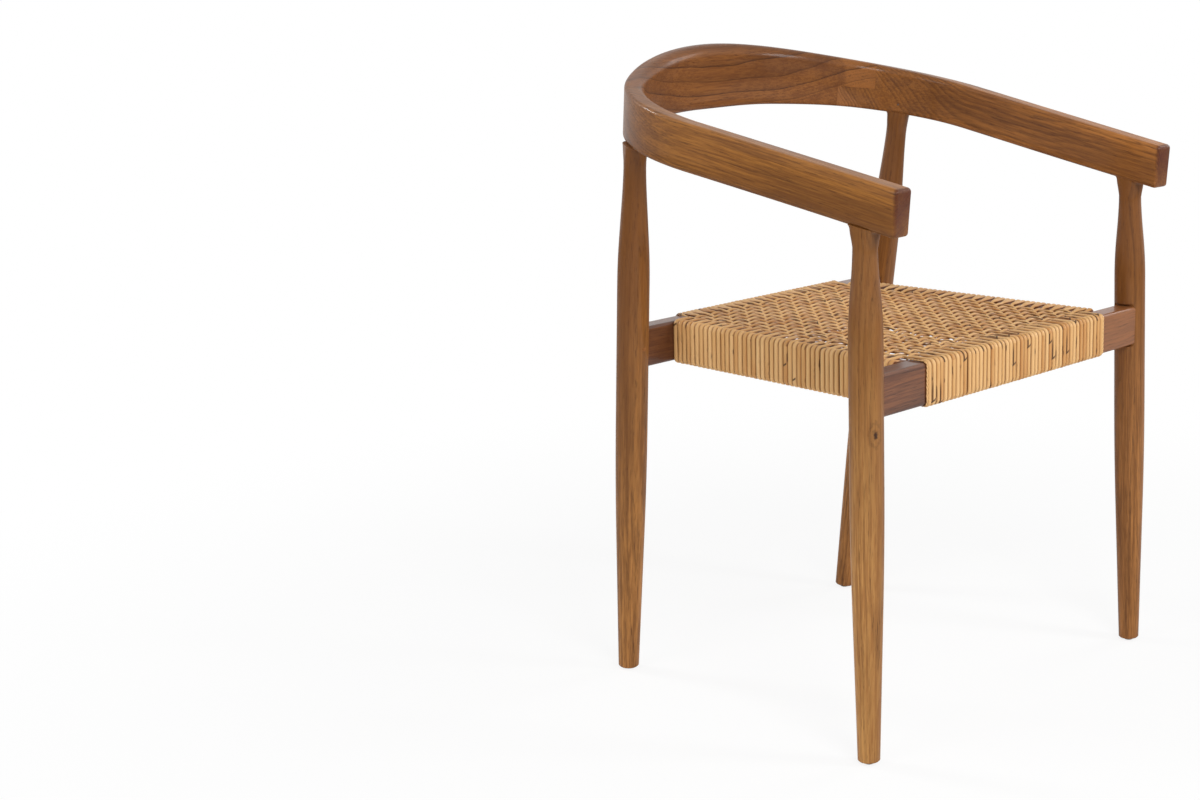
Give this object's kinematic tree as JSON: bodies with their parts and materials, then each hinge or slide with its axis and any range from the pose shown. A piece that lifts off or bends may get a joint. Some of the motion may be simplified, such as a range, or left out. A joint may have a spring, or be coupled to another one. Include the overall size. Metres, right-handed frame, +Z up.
{
  "type": "rattan dining armchair",
  "caption": "Wooden dining armchair: arms and crest in one continuous curved rail on turned raking legs, with rails that carry a flat woven rattan seat.",
  "frame": {"origin": "on the floor, at the middle of the chair's width and of its depth from the arms' ends to the crest's back", "axes": "+Z up, +X to the sitter's left, -Y to the front of the chair"},
  "size_m": [0.5734, 0.5304, 0.761],
  "materials": {
    "arm_wood": "oiled, satin",
    "rail_wood": "oiled, satin",
    "leg_wood": "oiled, satin",
    "peg_wood": "oiled, satin",
    "rattan": "natural peel, semi-gloss",
    "pin_steel": "dull",
    "glide_plastic": "moulded"
  },
  "bodies": {
    "root": {"crest_rail": "arm_wood", "arm_left": "arm_wood", "arm_right": "arm_wood", "front_rail": "rail_wood", "back_rail": "rail_wood", "side_rail_left": "rail_wood", "side_rail_right": "rail_wood", "seat_deck": "rattan", "front_wrap": "rattan", "back_wrap": "rattan", "side_wrap_left": "rattan", "side_wrap_right": "rattan", "peg_left": "peg_wood", "peg_right": "peg_wood", "tenon_pins": "pin_steel", "front_leg_left": "leg_wood", "front_leg_right": "leg_wood", "back_leg_left": "leg_wood", "back_leg_right": "leg_wood", "glide_front_left": "glide_plastic", "glide_front_right": "glide_plastic", "glide_back_left": "glide_plastic", "glide_back_right": "glide_plastic"}
  },
  "joints": []
}
